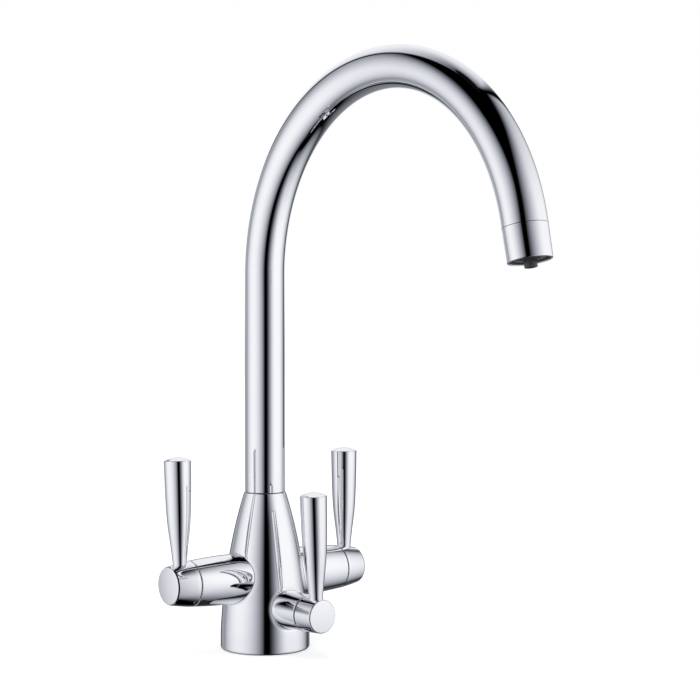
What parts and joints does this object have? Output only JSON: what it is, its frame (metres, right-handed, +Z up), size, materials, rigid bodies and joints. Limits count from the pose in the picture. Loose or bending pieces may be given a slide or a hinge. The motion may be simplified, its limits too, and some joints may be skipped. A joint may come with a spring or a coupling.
{
  "type": "three way filtered water tap",
  "caption": "Deck-mounted kitchen tap with a swivelling swan-neck spout, hot and cold levers on side arms, and a filtered water lever on a low front arm with its own outlet way.",
  "frame": {"origin": "centre of the base on the worktop plane", "axes": "+Z up; the spout and the filter arm point to -Y, the hot arm to -X and the cold arm to +X"},
  "size_m": [0.1438, 0.2718, 0.4197],
  "materials": {
    "chrome": "polished chrome plate on brass",
    "brass": "plain machined brass",
    "steel": "bright stainless steel",
    "rubber": "matt black rubber",
    "ceramic": "lapped ceramic",
    "white_plastic": "natural white plastic",
    "dark_plastic": "dark grey plastic, slightly satin"
  },
  "bodies": {
    "tap_body": {"body_casting": "chrome", "base_gasket": "rubber", "fixing_stud": "steel", "deck_washer_rubber": "rubber", "deck_clamp_plate": "steel", "fixing_nut": "brass", "hot_cartridge_body": "brass", "hot_seat_seal": "rubber", "hot_fixed_disc": "ceramic", "hot_glide_ring": "dark_plastic", "cold_cartridge_body": "brass", "cold_seat_seal": "rubber", "cold_fixed_disc": "ceramic", "cold_glide_ring": "dark_plastic", "filter_cartridge_body": "brass", "filter_seat_seal": "rubber", "filter_fixed_disc": "ceramic", "filter_glide_ring": "dark_plastic", "inner_tube_seal": "rubber", "inner_tube_guide": "white_plastic", "spout_bearing_ring": "white_plastic", "spout_lock_screw": "steel"},
    "spout": {"spout_collar_ring": "dark_plastic", "spout_stem": "brass", "stem_o_ring_lower": "rubber", "stem_o_ring_upper": "rubber", "spout_tube": "chrome", "filtered_water_tube": "white_plastic", "nozzle_sleeve": "chrome", "aerator_housing": "dark_plastic", "aerator_mesh": "steel", "filtered_water_spigot": "dark_plastic"},
    "hot_handle": {"hot_moving_disc": "ceramic", "hot_spindle": "brass", "hot_hub": "chrome", "hot_hub_screw": "steel", "hot_end_cap": "chrome", "hot_lever": "chrome"},
    "cold_handle": {"cold_moving_disc": "ceramic", "cold_spindle": "brass", "cold_hub": "chrome", "cold_hub_screw": "steel", "cold_end_cap": "chrome", "cold_lever": "chrome"},
    "filter_handle": {"filter_moving_disc": "ceramic", "filter_spindle": "brass", "filter_hub": "chrome", "filter_hub_screw": "steel", "filter_end_cap": "chrome", "filter_lever": "chrome"}
  },
  "joints": [
    {"name": "spout_swivel", "type": "hinge", "parent": "tap_body", "child": "spout", "pos_m": [0, 0, 0.0965], "axis": [0, 0, 1], "continuous": true},
    {"name": "hot_lever_turn", "type": "hinge", "parent": "tap_body", "child": "hot_handle", "pos_m": [-0.0627, 0, 0.0454], "axis": [1, 0, 0], "range_deg": [0, 90]},
    {"name": "cold_lever_turn", "type": "hinge", "parent": "tap_body", "child": "cold_handle", "pos_m": [0.0627, 0, 0.0454], "axis": [1, 0, 0], "range_deg": [0, 90]},
    {"name": "filter_lever_turn", "type": "hinge", "parent": "tap_body", "child": "filter_handle", "pos_m": [0, -0.05245, 0.0273], "axis": [0, 1, 0], "range_deg": [0, 90]}
  ]
}
